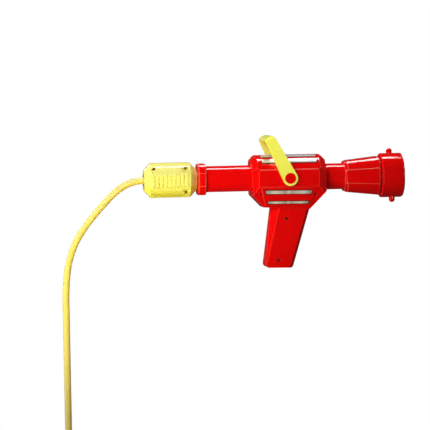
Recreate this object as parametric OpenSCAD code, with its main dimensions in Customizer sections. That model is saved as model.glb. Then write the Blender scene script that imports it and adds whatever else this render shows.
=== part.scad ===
// Toy water squirter shaped like a fire hose nozzle, with a slide pump behind it.
// X points forward along the barrel, Y to the left and Z up. The origin is the middle of the pistol grip.
// Stations along the barrel are counted from the lever's pivot, and heights from the barrel's axis.

/* [Layout] */
// Height of the barrel axis above the middle of the grip
axis_h = 60; // [56:0.5:66]
// Distance of the lever pivot ahead of the middle of the grip
pivot_x = 4.4; // [2:0.1:8]
// Clear gap between the pump handle and the collar when the pump is pushed in
handle_gap = 0.8; // [0.6:0.1:3]

/* [Barrel] */
// Outside diameter of the barrel tube
barrel_d = 26; // [25:0.1:27]
// Wall of the barrel tube
barrel_wall = 2; // [1.6:0.1:2.4]
// Rear end of the barrel, behind the pivot
barrel_rear = 88.2; // [84:0.2:94]
// Front end of the barrel, ahead of the pivot
barrel_front = 62.6; // [60:0.2:66]

/* [Housing] */
// Rear end of the housing, behind the pivot
body_rear = 38.3; // [37:0.1:40]
// Front end of the housing, ahead of the pivot
body_front = 37.4; // [36:0.1:39]
// Radius of the arched top, about the barrel axis
body_top_r = 23; // [22.4:0.1:24]
// How far the flat sides lie inside the arch's radius
side_inset = 1.7; // [1:0.1:2.4]
// Height of the end faces above the barrel
end_land = 4.4; // [3.8:0.1:5.2]
// Length of the rear bevel on top
rear_top_bevel = 5.2; // [4.5:0.1:7]
// Length of the front bevel on top
front_top_bevel = 5.8; // [4.5:0.1:7]
// Length of the rear bevel where it would meet the arch's radius at the side
rear_side_bevel = 10.5; // [9:0.1:12]
// Length of the front bevel where it would meet the arch's radius at the side
front_side_bevel = 11.3; // [9:0.1:12]
// Depth of the rear end face below the axis
rear_face_low = 17.2; // [16:0.1:18]
// How far the rear end face comes forward at its foot
rear_face_lean = 1.5; // [0:0.1:2]
// Run of the rear lower slope along the barrel
rear_slope_run = 12.3; // [11:0.1:14]
// Depth of the rear lower corner below the axis
rear_low = 29; // [28:0.1:30]
// Depth of the front end face below the axis
front_face_low = 13.4; // [12.8:0.1:15]
// Run of the front lower slope along the barrel
front_slope_run = 16.6; // [15:0.1:18]
// Depth of the front lower corner below the axis
front_low = 31.5; // [30.5:0.1:33]
// Depth below the axis where the lower facet begins
facet_top = 8.2; // [7.6:0.1:9]
// Inward lean of the lower facet
facet_lean = 20; // [16:0.5:21]
// Moulded wall of the housing
body_wall = 2.2; // [1.8:0.1:2.6]
// Thickness of the saddle ribs that hold the barrel
saddle_t = 2; // [1.6:0.1:3]

/* [Side panel] */
// Length of the panel's upper edge
panel_top_w = 55; // [50:0.5:56]
// Length of the panel's lower edge
panel_low_w = 45.8; // [42:0.2:47]
// Height of the panel down the lower facet
panel_h = 19; // [18:0.1:19.6]
// Panel's upper edge below the start of the facet
panel_drop = 0.8; // [0.5:0.1:1.4]
// How far the panel's middle lies behind the pivot
panel_back = 1.4; // [0:0.1:3]
// Turn of the panel on its facet, front end down
panel_turn = 0.8; // [0:0.1:1.5]
// How far the panel stands out of the facet
panel_t = 0.8; // [0.5:0.1:1.2]
// Height of the upper foil strip
foil_upper_h = 5; // [4:0.1:6]
// Height of the lower foil strip
foil_lower_h = 3.8; // [3:0.1:5]
// Distance from the panel's upper edge to the upper foil strip
foil_upper_margin = 2.4; // [1.4:0.1:3]
// Distance from the panel's lower edge to the lower foil strip
foil_lower_margin = 1.1; // [0.8:0.1:2]
// Distance from the panel's slanting ends to the foil strips
foil_end_margin = 2.5; // [1.6:0.1:4]
// Thickness of the foil
foil_t = 0.35; // [0.2:0.05:0.5]
// Length of the foil strips on top
top_foil_len = 56.5; // [50:0.5:58]
// Width of each foil strip on top, round the arch
top_foil_w = 6.2; // [5:0.1:7]
// Height of the snap windows beside the panel
window_h = 3.4; // [3:0.1:4.2]
// Width of the snap windows
window_w = 1.6; // [1.2:0.1:2]
// Distance of the snap windows from the panel's middle
window_out = 27.3; // [27:0.1:28.4]

/* [Pistol grip] */
// Depth of the grip's heel below the axis
grip_heel_low = 89.5; // [86:0.5:93]
// Distance of the heel behind the pivot
grip_heel_back = 25; // [23.5:0.1:26.5]
// Depth of the grip's toe below the axis
grip_toe_low = 90; // [86:0.5:93]
// Distance of the toe ahead of the pivot
grip_toe_ahead = 3; // [1:0.1:5]
// Distance of the grip's rear edge behind the pivot at its root
grip_root_back = 17.6; // [16.5:0.1:18.5]
// How far the grip's sides lie inside the housing's lower edge
grip_inset = 0.8; // [0.4:0.1:1.6]
// Bevel of the grip's rear edges at its root
grip_root_bevel = 7.6; // [6:0.1:8.4]
// Bevel of the grip's rear edges at its heel
grip_heel_bevel = 0.8; // [0.4:0.1:2]
// Bevel along the front edges of the grip
grip_front_bevel = 3.2; // [2.5:0.1:4]
// Radius of the heel and toe corners
grip_corner_r = 3.5; // [2.5:0.1:4]

/* [Screws] */
// Diameter of the screw heads
screw_head_d = 3.2; // [2.8:0.1:3.4]
// Height of the screw heads
screw_head_h = 1.4; // [1:0.1:1.8]
// Diameter of the screw shanks
screw_d = 1.9; // [1.6:0.1:2.2]
// Length of the screw shanks
screw_len = 9; // [8:0.5:10]
// Diameter of the posts round the screws
post_d = 7; // [6:0.1:8]
// Depth of the screw heads' seats on the right side of the parting plane
screw_seat = 5; // [4.5:0.1:6]

/* [Bail lever] */
// Diameter of the round bosses that carry the lever
boss_d = 10.7; // [9.5:0.1:11]
// Outside diameter of the lever's eyes
eye_d = 15.2; // [14.6:0.1:16.4]
// Thickness of the lever's legs and bridge
lever_t = 3; // [2.4:0.1:3.2]
// Width of the legs at the bridge
lever_top_w = 10.2; // [9.6:0.1:12]
// Length of the lever from the pivot to the top of the bridge
lever_len = 46.3; // [45.6:0.1:48]
// Lean of the lever towards the rear
lever_lean = 27; // [15:0.5:30]
// Side clearance between the legs and the housing
lever_gap = 0.4; // [0.3:0.05:0.6]
// Corner radius of the bridge, seen from the front
lever_corner_r = 3.4; // [3.3:0.1:4]
// Corner radius of the bridge, seen from the side
lever_round_r = 3.5; // [2.5:0.1:4]

/* [Rear collar] */
// Half width of the collar across its flats
collar_r = 15.6; // [15:0.1:16.5]
// Length of the collar
collar_len = 8.5; // [7.5:0.1:10]
// Thickness of the collar's end wall
collar_end = 3; // [2.5:0.1:4]
// Length of the soft wiper behind the end wall
wiper_len = 3; // [2:0.1:4]

/* [Nozzle] */
// Half width of the cone across its flats at the rear
cone_rear_r = 15.9; // [15.6:0.1:17]
// Half width of the cone across its flats at the front
cone_front_r = 19.3; // [18.5:0.1:20]
// Length of the cone
cone_len = 36; // [34:0.1:37]
// Length of barrel inside the cone
cone_overlap = 6; // [5:0.1:7]
// Gap between the cone and the twist ring
ring_gap = 1; // [0.8:0.1:2]
// Outside diameter of the twist ring
ring_d = 44.4; // [43.6:0.1:46]
// Length of the twist ring
ring_len = 23; // [21:0.5:26]
// Diameter of the ring's mouth
mouth_d = 39; // [38:0.1:39.6]
// Depth of the jet disc inside the mouth
mouth_depth = 9; // [7:0.1:10]
// Thickness of the ring's rear wall
ring_wall = 6; // [5:0.1:7]
// Diameter of the neck that the ring turns on
neck_d = 34; // [32.5:0.1:35]
// Diameter of the lugs on the ring
lug_d = 6.1; // [5:0.1:7]
// How far the lugs stand out of the ring
lug_out = 5.6; // [4.5:0.1:6.5]
// Turn of the ring, and its lugs, from upright
ring_turn = 15; // [0:1:45]
// Diameter of the jet hole
jet_d = 3; // [2:0.1:4]

/* [Outlet valve] */
// Bore of the outlet chamber inside the cone
chamber_d = 21; // [20:0.1:21.4]
// Thickness of the sealing ring at the barrel's end
outlet_seal_t = 1.5; // [1:0.1:2]
// Thickness of the outlet valve's seat
seat_t = 5; // [4.5:0.1:6]
// Length of the guide that the outlet ball runs in
guide_len = 11; // [10:0.1:12]
// Thickness of the disc that holds the outlet spring
retainer_t = 2; // [1.6:0.1:3]
// Wire of the outlet spring
spring_wire = 0.6; // [0.5:0.05:0.7]
// Curls of the outlet spring
spring_curls = 5; // [4:1:6]

/* [Pump] */
// Outside diameter of the hollow plunger
plunger_d = 16; // [15:0.1:16.6]
// Bore of the hollow plunger
plunger_bore = 12; // [11.4:0.1:12.4]
// Length of the plunger
plunger_len = 149; // [146:0.5:152]
// Diameter of the plunger's flange inside the handle
flange_d = 21; // [20:0.1:22]
// Thickness of the plunger's flange
flange_t = 3; // [2:0.1:4]
// Length of the piston head
piston_len = 16; // [15:0.1:18]
// Length of the piston's tail inside the plunger
piston_tail = 14; // [12:0.1:16]
// Width of the piston seal
seal_w = 3.2; // [2.6:0.1:3.6]
// Depth of the piston seal's groove
seal_depth = 2.2; // [1.8:0.1:2.6]
// Diameter of the valve balls
ball_d = 6.4; // [6:0.1:6.8]
// Bore of the water passage through the valve seats
passage_d = 4.4; // [4:0.1:4.6]
// Thickness of the cage in front of the inlet ball
cage_t = 2.5; // [2:0.1:3]

/* [Pump handle] */
// Half width of the handle across its flats
handle_r = 17.2; // [16.8:0.1:18]
// Length of the handle
handle_len = 52.6; // [51:0.2:55]
// Bevel at the ends of the handle
handle_bevel = 6.8; // [5.5:0.1:7]
// Moulded wall of the handle
handle_wall = 2.4; // [2:0.1:2.8]
// Number of grip ribs on each side
rib_count = 9; // [7:1:9]
// Spacing of the grip ribs
rib_pitch = 4.2; // [3.6:0.1:4.3]
// Width of the grip ribs
rib_w = 2.2; // [1.6:0.1:2.6]
// How far the ribs stand out
rib_t = 0.7; // [0.4:0.1:1]
// How far the middle of the screws and ribs lies behind the handle's middle
detail_back = 1.1; // [0:0.1:1.5]
// Distance of the screws from that middle, along the handle
handle_screw_x = 15.9; // [15:0.1:16.5]
// Distance of the screws above and below the axis
handle_screw_z = 11.8; // [11.4:0.1:12]
// Diameter of the spot faces round the screws
spot_d = 7.4; // [6.4:0.1:7.6]
// Depth of the recess along the lower facets
finger_recess = 0.8; // [0.4:0.1:1]

/* [Hose] */
// Outside diameter of the hose
hose_d = 7; // [6.6:0.1:7.2]
// Bore of the hose
hose_bore = 5; // [4.8:0.1:5.2]
// Length of hose inside the handle
hose_inside = 24; // [22:0.5:26]
// Length of the barbs in the hose's two ends
barb_len = 12; // [8:0.5:14]
// Diameter of the connector's body at the far end
connector_d = 12; // [10:0.1:14]
// Length of the connector's body
connector_len = 10; // [8:0.5:14]
// Diameter of the connector's spigot
spigot_d = 8; // [7.4:0.1:9]
// Length of the connector's spigot
spigot_len = 15; // [14:0.5:18]

/* [Hidden] */

// Facets of a round in a preview
$fn = 96;

// Cuts run past the faces they open by this much
over = 1;
// Half spaces and blanks are larger than the whole gun
huge = 400;
// Gap between pieces that are pressed or clamped together
fit_gap = 0.05;
// Radial clearance of shafts that turn or slide in holes
run_gap = 0.06;
// Clearance between moving pieces that don't guide each other
free_gap = 0.3;
// Gap between a valve ball and its seat
ball_gap = 0.15;

red = "#cf1010";
yellow = "#f2e63c";
foil_grey = "#c9c9c4";
steel = "#a9abad";
rubber_grey = "#3b3b3b";
pvc = "#e8d44a";

// Stations along the barrel, from the pivot
collar_rear = -barrel_rear - collar_end;
handle_front = collar_rear - handle_gap;
handle_rear = handle_front - handle_len;
handle_mid = (handle_front + handle_rear) / 2;
detail_mid = handle_mid - detail_back;
cone_rear = barrel_front - cone_overlap;
cone_front = cone_rear + cone_len;
ring_rear = cone_front + ring_gap;
ring_front = ring_rear + ring_len;
hose_start = handle_rear + hose_inside;
barb_flange_t = 4;
plunger_rear = hose_start + barb_flange_t;
plunger_front = plunger_rear + plunger_len;

barrel_r = barrel_d / 2;
bore_r = barrel_r - barrel_wall;
// Half width of the housing across its flat sides
body_side = body_top_r - side_inset;
// Half thickness of the grip
grip_half = body_side - (front_low - facet_top) * tan(facet_lean) - grip_inset;
// How far the end bevels take the end faces in from the arched top
body_end_drop = body_top_r - barrel_r - end_land;
ball_r = ball_d / 2;
passage_r = passage_d / 2;
neck_r = neck_d / 2;

// Distance of a ball's middle ahead of the narrow end of its 45 degree seat
ball_seat = sqrt(2) * (ball_r + ball_gap) - passage_r;

// Places a child on the barrel axis, at a station
module at(station) { translate([pivot_x + station, 0, axis_h]) children(); }

// Turns a child's Z onto the barrel axis, starting at a station
module along(station) { at(station) rotate([0, 90, 0]) children(); }

// Draws a side profile, given from the pivot, as a plate of this half thickness
module side_plate(points, half) {
    at(0) rotate([90, 0, 0]) linear_extrude(2 * half, center = true) polygon(points);
}

// Keeps the half of a child on one side of the parting plane, 1 for left and -1 for right
module half_of(side) {
    intersection() {
        children();
        translate([0, side * huge / 2, 0]) cube([2 * huge, huge, 2 * huge], center = true);
    }
}

// Mirrors a right-hand child onto the given side
module on_side(side) { mirror([0, side > 0 ? 1 : 0, 0]) children(); }

// Line through two points, moved to its left by d, as a point and a direction
function moved_line(a, b, d) =
    let (t = (b - a) / norm(b - a)) [a + d * [-t[1], t[0]], t];

// Point where two such lines cross
function crossing(k, m) = k[0] + k[1] * cross(m[0] - k[0], m[1]) / cross(k[1], m[1]);

// Outline drawn in by d all round, for points listed counter-clockwise
function inset(p, d) = let (n = len(p)) [for (i = [0 : n - 1])
    crossing(moved_line(p[(i + n - 1) % n], p[i], d), moved_line(p[i], p[(i + 1) % n], d))];

// Arc that rounds the corner b of the path a, b, c with radius r
function corner_arc(a, b, c, r, steps = 6) =
    let (u = (a - b) / norm(a - b), v = (c - b) / norm(c - b))
    let (half = acos(u * v) / 2, mid = (u + v) / norm(u + v), o = b + mid * r / sin(half))
    let (from = -mid, side = cross(u, v) < 0 ? 1 : -1, sweep = 90 - half)
    [for (i = [0 : steps]) let (q = side * sweep * (1 - 2 * i / steps))
        o + r * [from[0] * cos(q) + from[1] * sin(q), from[1] * cos(q) - from[0] * sin(q)]];

// Body with pairs of flats at these turns round the barrel axis, whose half profile lists stations and
// radii. A turned body, larger by a share, rounds what the flats leave.
module flatted(half_profile, turns, round_share) {
    n = len(half_profile);
    mirrored = [for (i = [n - 1 : -1 : 0]) [half_profile[i][0], -half_profile[i][1]]];
    turned = [for (p = half_profile) [round_share * p[1], p[0]]];
    ends = [[0, half_profile[n - 1][0]], [0, half_profile[0][0]]];
    intersection() {
        intersection_for(turn = turns)
            translate([0, 0, axis_h]) rotate([turn, 0, 0]) translate([0, 0, -axis_h])
                side_plate(concat(half_profile, mirrored), huge / 4);
        along(0) rotate_extrude() polygon(concat(turned, ends));
    }
}

// Eight flats with their edges taken off, and four flats with round corners between them
eight_flats = [0, 45, 90, 135];
eight_round_share = 1.045;
four_flats = [0, 90];
four_round_share = 1 / cos(22.5);

// Ring about the barrel axis between two stations
module ring(from, to, outer, inner) {
    along(from) difference() {
        cylinder(h = to - from, r = outer);
        translate([0, 0, -over]) cylinder(h = to - from + 2 * over, r = inner);
    }
}

// Rod about the barrel axis between two stations
module rod(from, to, r) { along(from) cylinder(h = to - from, r = r); }

// Cone about the barrel axis between two stations
module taper(from, to, r_from, r_to) { along(from) cylinder(h = to - from, r1 = r_from, r2 = r_to); }

// Housing

grip_front_slope = (body_front - front_slope_run - grip_toe_ahead) / (grip_toe_low - front_low);
facet_depth = front_low + over - facet_top;
facet_run = facet_depth * tan(facet_lean);

body_outline = [
    [-body_rear + rear_slope_run, -rear_low],
    [body_front - front_slope_run, -front_low],
    [body_front, -front_face_low],
    [body_front, body_top_r + over],
    [-body_rear, body_top_r + over],
    [-body_rear + rear_face_lean, -rear_face_low]];

// Cross section, carried on above the arch
section_outline = [
    [-body_side + facet_run, -front_low - over],
    [body_side - facet_run, -front_low - over],
    [body_side, -facet_top],
    [body_side, 2 * body_top_r],
    [-body_side, 2 * body_top_r],
    [-body_side, -facet_top]];

// Outline cut by the end bevels, which are carried on past the end faces and above the arch
bevel_more_share = 0.7;
function bevel_outline(rear, front) =
    let (more = bevel_more_share, top = body_top_r + more * body_end_drop)
    let (low = body_top_r - (1 + more) * body_end_drop)
    [[-body_rear - more * rear, -huge / 4], [body_front + more * front, -huge / 4],
    [body_front + more * front, low], [body_front - (1 + more) * front, top],
    [-body_rear + (1 + more) * rear, top], [-body_rear - more * rear, low]];
shoulder_share = 0.25;
shoulder_rear_bevel = rear_top_bevel + shoulder_share * (rear_side_bevel - rear_top_bevel);
shoulder_front_bevel = front_top_bevel + shoulder_share * (front_side_bevel - front_top_bevel);
end_bevels = [[0, rear_top_bevel, front_top_bevel],
    [45, shoulder_rear_bevel, shoulder_front_bevel], [-45, shoulder_rear_bevel, shoulder_front_bevel],
    [90, rear_side_bevel, front_side_bevel], [-90, rear_side_bevel, front_side_bevel]];

// Block of the housing's upper part, drawn in by d all round
module body_block(d) {
    intersection() {
        side_plate(inset(body_outline, d), body_top_r);
        at(0) rotate([90, 0, 90]) linear_extrude(huge / 2, center = true) polygon(inset(section_outline, d));
        union() {
            rod(-huge / 4, huge / 4, body_top_r - d);
            at(0) translate([0, 0, -huge / 4]) cube([huge / 2, huge / 2, huge / 2], center = true);
        }
        intersection_for(b = end_bevels)
            translate([0, 0, axis_h]) rotate([b[0], 0, 0]) translate([0, 0, -axis_h])
                side_plate(inset(bevel_outline(b[1], b[2]), d), huge / 4);
    }
}

grip_top_z = -rear_low + 2 * body_wall;
grip_toe = [grip_toe_ahead, -grip_toe_low];
grip_front_top = [grip_toe_ahead + (grip_toe_low + grip_top_z) * grip_front_slope, grip_top_z];
grip_heel = [-grip_heel_back, -grip_heel_low];
grip_root = [-grip_root_back, -rear_low];
grip_rear_top = [-grip_root_back, grip_top_z];
grip_corners = [grip_heel, grip_toe, grip_front_top, grip_rear_top, grip_root];

// Outline of the grip, drawn in by d, with round heel and toe
function grip_outline(d) =
    let (p = inset(grip_corners, d), r = grip_corner_r - d)
    concat(corner_arc(p[4], p[0], p[1], r), corner_arc(p[0], p[1], p[2], r), [p[2], p[3], p[4]]);

// Bars that bevel both edges of a plate along the line from p to q
module edge_bevels(p, q, half, leg) {
    side_len = leg * sqrt(2);
    for (side = [-1, 1])
        at(p[0]) translate([0, side * half, p[1]]) rotate([0, -atan2(q[1] - p[1], q[0] - p[0]), 0])
            rotate([45, 0, 0]) translate([-over * side_len, -side_len / 2, -side_len / 2])
                cube([norm(q - p) + 2 * over * side_len, side_len, side_len]);
}

// Block of the pistol grip, drawn in by d all round
module grip_block(d) {
    p = inset(grip_corners, d);
    leg_loss = d * (2 - sqrt(2));
    heel_back = [grip_root_bevel - grip_heel_bevel, 0];
    difference() {
        side_plate(grip_outline(d), grip_half - d);
        edge_bevels(p[0] - heel_back, p[4], grip_half - d, grip_root_bevel - leg_loss);
        edge_bevels(p[1], p[2], grip_half - d, grip_front_bevel - leg_loss);
    }
}

// Places of the body screws: near the heel and under the root of the grip, nearer to its rear edge
body_screw_shares = [0.88, 0.22];
rear_edge_share = 0.57;
function grip_place(share) =
    let (rear = grip_root + share * (grip_heel - grip_root))
    let (front = grip_front_top + share * (grip_toe - grip_front_top))
    rear_edge_share * rear + (1 - rear_edge_share) * front;
body_screw_places = [for (s = body_screw_shares) grip_place(s)];

// Places of the saddle ribs along the barrel, as shares of the housing's two lengths
saddle_share = 0.5;
saddle_stations = [-saddle_share * body_rear, saddle_share * body_front];

// Hollow inside the housing, less the saddle ribs and the screw posts
module housing_hollow() {
    difference() {
        union() {
            body_block(body_wall);
            grip_block(body_wall);
        }
        for (s = saddle_stations)
            at(s) cube([saddle_t, huge / 4, huge / 4], center = true);
        for (p = body_screw_places)
            at(p[0]) translate([0, 0, p[1]]) rotate([90, 0, 0])
                cylinder(h = huge / 4, d = post_d, center = true);
    }
}

// Screw with its axis along Y and its head at the right, from its seat, with a cross recess
cross_share = 0.7;
cross_bar_share = 0.18;
module screw_at(station, z) {
    recess_len = screw_head_d * cross_share;
    recess_w = screw_head_d * cross_bar_share;
    at(station) translate([0, -screw_seat, z]) rotate([90, 0, 0]) difference() {
        union() {
            cylinder(h = screw_head_h, d = screw_head_d);
            translate([0, 0, -screw_len]) cylinder(h = screw_len + screw_head_h / 2, d = screw_d);
        }
        for (turn = [0, 90])
            rotate([0, 0, turn]) translate([0, 0, screw_head_h])
                cube([recess_len, recess_w, screw_head_h], center = true);
    }
}

// Room for such a screw: a hole for its shank, and a well for its head that opens to the right
module screw_hole(station, z) {
    at(station) translate([0, -screw_seat, z]) rotate([90, 0, 0]) {
        cylinder(h = huge / 4, r = screw_head_d / 2 + fit_gap);
        translate([0, 0, -screw_len - fit_gap])
            cylinder(h = screw_len + over, r = screw_d / 2 + fit_gap);
    }
}

// Puts a drawing on the right side's lower facet: X along the barrel from the panel's middle,
// Y up the facet from the panel's upper edge, Z out of the facet
module on_facet() {
    at(-panel_back) translate([0, -body_side, -facet_top]) rotate([90 + facet_lean, 0, 0])
        translate([0, -panel_drop, 0]) rotate([0, 0, -panel_turn]) children();
}

panel_slant = (panel_top_w - panel_low_w) / 2 / panel_h;

// Trapezium with the panel's slanting ends, between two distances down the panel
function panel_strip(from, to, margin) =
    let (top = panel_top_w / 2 - margin - panel_slant * from)
    let (low = panel_top_w / 2 - margin - panel_slant * to)
    [[-low, -to], [low, -to], [top, -from], [-top, -from]];

module panel() {
    on_facet() translate([0, 0, -panel_t]) linear_extrude(2 * panel_t)
        polygon(panel_strip(0, panel_h, 0));
}

module snap_windows() {
    for (end = [-1, 1])
        on_facet() translate([end * window_out, -panel_h / 2 + window_h / 2, 0])
            cube([window_w, window_h, 2 * panel_t], center = true);
}

boss_out = lever_gap + lever_t + lever_gap;

module lever_boss() {
    at(0) translate([0, -body_side + body_wall / 2, 0]) rotate([90, 0, 0])
        cylinder(h = boss_out + body_wall / 2, d = boss_d);
}

// One half of the housing; the screws enter the right half
module housing_half(side) {
    difference() {
        half_of(side) difference() {
            union() {
                body_block(0);
                grip_block(0);
                on_side(side) panel();
            }
            housing_hollow();
        }
        rod(-body_rear - over, body_front + over, barrel_r + fit_gap);
        for (p = body_screw_places) screw_hole(p[0], p[1]);
        on_side(side) snap_windows();
    }
    on_side(side) lever_boss();
}

module housing_left() { color(red) housing_half(1); }

module housing_right() { color(red) housing_half(-1); }

module body_screws() { color(steel) for (p = body_screw_places) screw_at(p[0], p[1]); }

// Foil strips on the side panels and on top

module side_foil(side) {
    lower_from = panel_h - foil_lower_margin - foil_lower_h;
    color(foil_grey) on_side(side) on_facet() translate([0, 0, panel_t]) linear_extrude(foil_t) {
        polygon(panel_strip(foil_upper_margin, foil_upper_margin + foil_upper_h, foil_end_margin));
        polygon(panel_strip(lower_from, lower_from + foil_lower_h, foil_end_margin));
    }
}

module side_foil_left() { side_foil(1); }

module side_foil_right() { side_foil(-1); }

// Turn of the two strips' lower edges from the crown of the arch
top_foil_turns = [50, 27];

module top_foil(side) {
    sweep = top_foil_w / body_top_r * 180 / PI;
    color(foil_grey) on_side(side) for (turn = top_foil_turns)
        along(-top_foil_len / 2) rotate([0, 0, 180 + turn - sweep])
            rotate_extrude(angle = sweep) translate([body_top_r + fit_gap, 0])
                square([foil_t, top_foil_len]);
}

module top_foil_left() { top_foil(1); }

module top_foil_right() { top_foil(-1); }

// Barrel and collar

module barrel() { color(red) ring(-barrel_rear, barrel_front, barrel_r, bore_r); }

collar_chamfer = 1;

module rear_collar() {
    front = collar_rear + collar_len;
    color(red) difference() {
        flatted([[collar_rear, collar_r - collar_chamfer], [collar_rear + collar_chamfer, collar_r],
            [front - collar_chamfer, collar_r], [front, collar_r - collar_chamfer]],
            four_flats, four_round_share);
        rod(-barrel_rear, front + over, barrel_r + fit_gap);
        rod(collar_rear - over, front, plunger_d / 2 + run_gap);
    }
}

module collar_wiper() {
    color(rubber_grey) ring(-barrel_rear, -barrel_rear + wiper_len, bore_r - fit_gap,
        plunger_d / 2 + free_gap);
}

// Nozzle cone with the outlet valve in its root

cone_edge = 1.2;
cone_step = 3;
seal_front = barrel_front + outlet_seal_t;
seat_front = seal_front + seat_t;
guide_front = seat_front + guide_len;
retainer_front = guide_front + retainer_t;
neck_front = ring_rear + ring_wall + free_gap;
lip_len = 1.5;
lip_out = 0.6;

module nozzle_cone() {
    color(red) difference() {
        union() {
            flatted([[cone_rear, cone_rear_r - cone_edge], [cone_rear + cone_step, cone_rear_r],
                [cone_front - cone_edge, cone_front_r], [cone_front, cone_front_r - cone_edge]],
                four_flats, four_round_share);
            rod(cone_front - over, neck_front + lip_len, neck_r);
            rod(neck_front, neck_front + lip_len, neck_r + lip_out);
        }
        rod(cone_rear - over, seal_front, barrel_r + fit_gap);
        rod(cone_rear, neck_front + lip_len + over, chamber_d / 2);
    }
}

module outlet_seal() { color(rubber_grey) ring(barrel_front, seal_front, barrel_r - fit_gap, bore_r); }

guide_wall = 1.8;
guide_bore_r = ball_r + free_gap;
slot_w = 2.4;

// Water passage from one station to another that opens at 45 degrees into a ball's guide
module valve_bore(from, narrow, to) {
    wide = narrow + guide_bore_r - passage_r;
    along(0) rotate_extrude() polygon([[0, from], [passage_r, from], [passage_r, narrow],
        [guide_bore_r, wide], [guide_bore_r, to], [0, to]]);
}

module outlet_seat() {
    narrow = seat_front - ball_r;
    color(red) difference() {
        union() {
            rod(seal_front, seat_front, chamber_d / 2 - fit_gap);
            rod(seal_front, guide_front, guide_bore_r + guide_wall);
        }
        valve_bore(seal_front - over, narrow, guide_front + over);
        for (turn = [0, 90])
            along(seat_front) rotate([0, 0, turn]) translate([-huge / 8, -slot_w / 2, 0])
                cube([huge / 4, slot_w, guide_len + over]);
    }
}

outlet_ball_x = seat_front - ball_r + ball_seat;

module outlet_ball() { color(steel) at(outlet_ball_x) sphere(r = ball_r); }

port_count = 6;
port_d = 3.6;
port_ring_share = 0.72;

// Ports round the middle of a disc, between two stations
module ports(from, to, disc_r, d) {
    for (i = [0 : port_count - 1])
        along(from - over) rotate([0, 0, i * 360 / port_count]) translate([disc_r * port_ring_share, 0, 0])
            cylinder(h = to - from + 2 * over, d = d);
}

module outlet_retainer() {
    color(red) difference() {
        rod(guide_front, retainer_front, chamber_d / 2 - fit_gap);
        ports(guide_front, retainer_front, chamber_d / 2, port_d);
    }
}

// Round tube swept along a list of points, as one closed surface of rings.
// A bore of zero makes a solid wire. Each ring lies square to the path.
function unit(v) = v / norm(v);
function path_way(p, i) = unit(p[min(i + 1, len(p) - 1)] - p[max(i - 1, 0)]);
function ring_points(p, i, r, sides, ref) =
    let (w = path_way(p, i), a = unit(cross(ref, w)), b = cross(w, a))
    [for (k = [0 : sides - 1]) p[i] + r * (cos(k * 360 / sides) * a + sin(k * 360 / sides) * b)];

module swept_wire(p, r, sides, ref) {
    n = len(p);
    points = [for (i = [0 : n - 1]) each ring_points(p, i, r, sides, ref)];
    walls = [for (i = [0 : n - 2], k = [0 : sides - 1], half = [0, 1])
        let (a = i * sides + k, b = i * sides + (k + 1) % sides)
        half == 0 ? [a, a + sides, b + sides] : [a, b + sides, b]];
    caps = [for (k = [1 : sides - 2], half = [0, 1])
        let (e = (n - 1) * sides) half == 0 ? [0, k, k + 1] : [e, e + k + 1, e + k]];
    polyhedron(points, concat(walls, caps));
}

module swept_hose(p, r, bore, sides, ref) {
    n = len(p);
    inner = n * sides;
    points = concat([for (i = [0 : n - 1]) each ring_points(p, i, r, sides, ref)],
        [for (i = [0 : n - 1]) each ring_points(p, i, bore, sides, ref)]);
    walls = [for (i = [0 : n - 2], k = [0 : sides - 1], quarter = [0 : 3])
        let (a = i * sides + k, b = i * sides + (k + 1) % sides)
        quarter == 0 ? [a, a + sides, b + sides] : quarter == 1 ? [a, b + sides, b] :
        quarter == 2 ? [inner + a, inner + b + sides, inner + a + sides] :
        [inner + a, inner + b, inner + b + sides]];
    last = (n - 1) * sides;
    rims = [for (k = [0 : sides - 1], quarter = [0 : 3])
        let (a = k, b = (k + 1) % sides)
        quarter == 0 ? [a, b, inner + b] : quarter == 1 ? [a, inner + b, inner + a] :
        quarter == 2 ? [last + a, inner + last + b, last + b] :
        [last + a, inner + last + a, inner + last + b]];
    polyhedron(points, concat(walls, rims));
}

// Outlet spring between the ball and its retainer
spring_rings = 8;
wire_sides = 6;
spring_r = ball_r - spring_wire - free_gap / 2;
spring_from = outlet_ball_x + sqrt(pow(ball_r, 2) - pow(spring_r - spring_wire / 2, 2)) + spring_wire;
spring_to = guide_front - spring_wire / 2 - fit_gap;
spring_steps = spring_curls * spring_rings;
spring_path = [for (i = [0 : spring_steps]) let (turn = i * 360 / spring_rings)
    [pivot_x + spring_from + (spring_to - spring_from) * i / spring_steps,
    spring_r * cos(turn), axis_h + spring_r * sin(turn)]];
spring_gap = min([for (i = [0 : spring_steps - spring_rings], k = [-1, 0])
    norm(spring_path[i + spring_rings + k] - spring_path[i])]) - spring_wire;
echo(least_gap_between_spring_curls = spring_gap);

module outlet_spring() {
    color(steel) swept_wire(spring_path, spring_wire / 2, wire_sides, [1, 0, 0]);
}

// Twist ring and the jet disc in its mouth

ring_edge = 2.2;
disc_t = 2.5;
disc_rear = ring_front - mouth_depth - disc_t;
disc_step = 0.6;
disc_r = mouth_d / 2 - disc_step;
ring_r = ring_d / 2;

module lug() {
    translate([0, 0, ring_r - ring_edge]) cylinder(h = ring_edge + lug_out - lug_d / 2, d = lug_d);
    translate([0, 0, ring_r + lug_out - lug_d / 2]) sphere(d = lug_d);
}

module nozzle_ring() {
    color(red) difference() {
        union() {
            along(ring_rear) rotate_extrude() polygon(concat(
                [[0, 0], [ring_r - ring_edge / 2, 0], [ring_r, ring_edge / 2]],
                corner_arc([ring_r, 0], [ring_r, ring_len], [0, ring_len], ring_edge), [[0, ring_len]]));
            at(ring_rear + ring_len / 2) for (turn = [0, 180]) rotate([turn - ring_turn, 0, 0]) lug();
        }
        rod(ring_rear - over, ring_front, neck_r + run_gap);
        rod(ring_rear + ring_wall, ring_front, disc_r);
        rod(ring_front - mouth_depth, ring_front + over, mouth_d / 2);
    }
}

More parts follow.
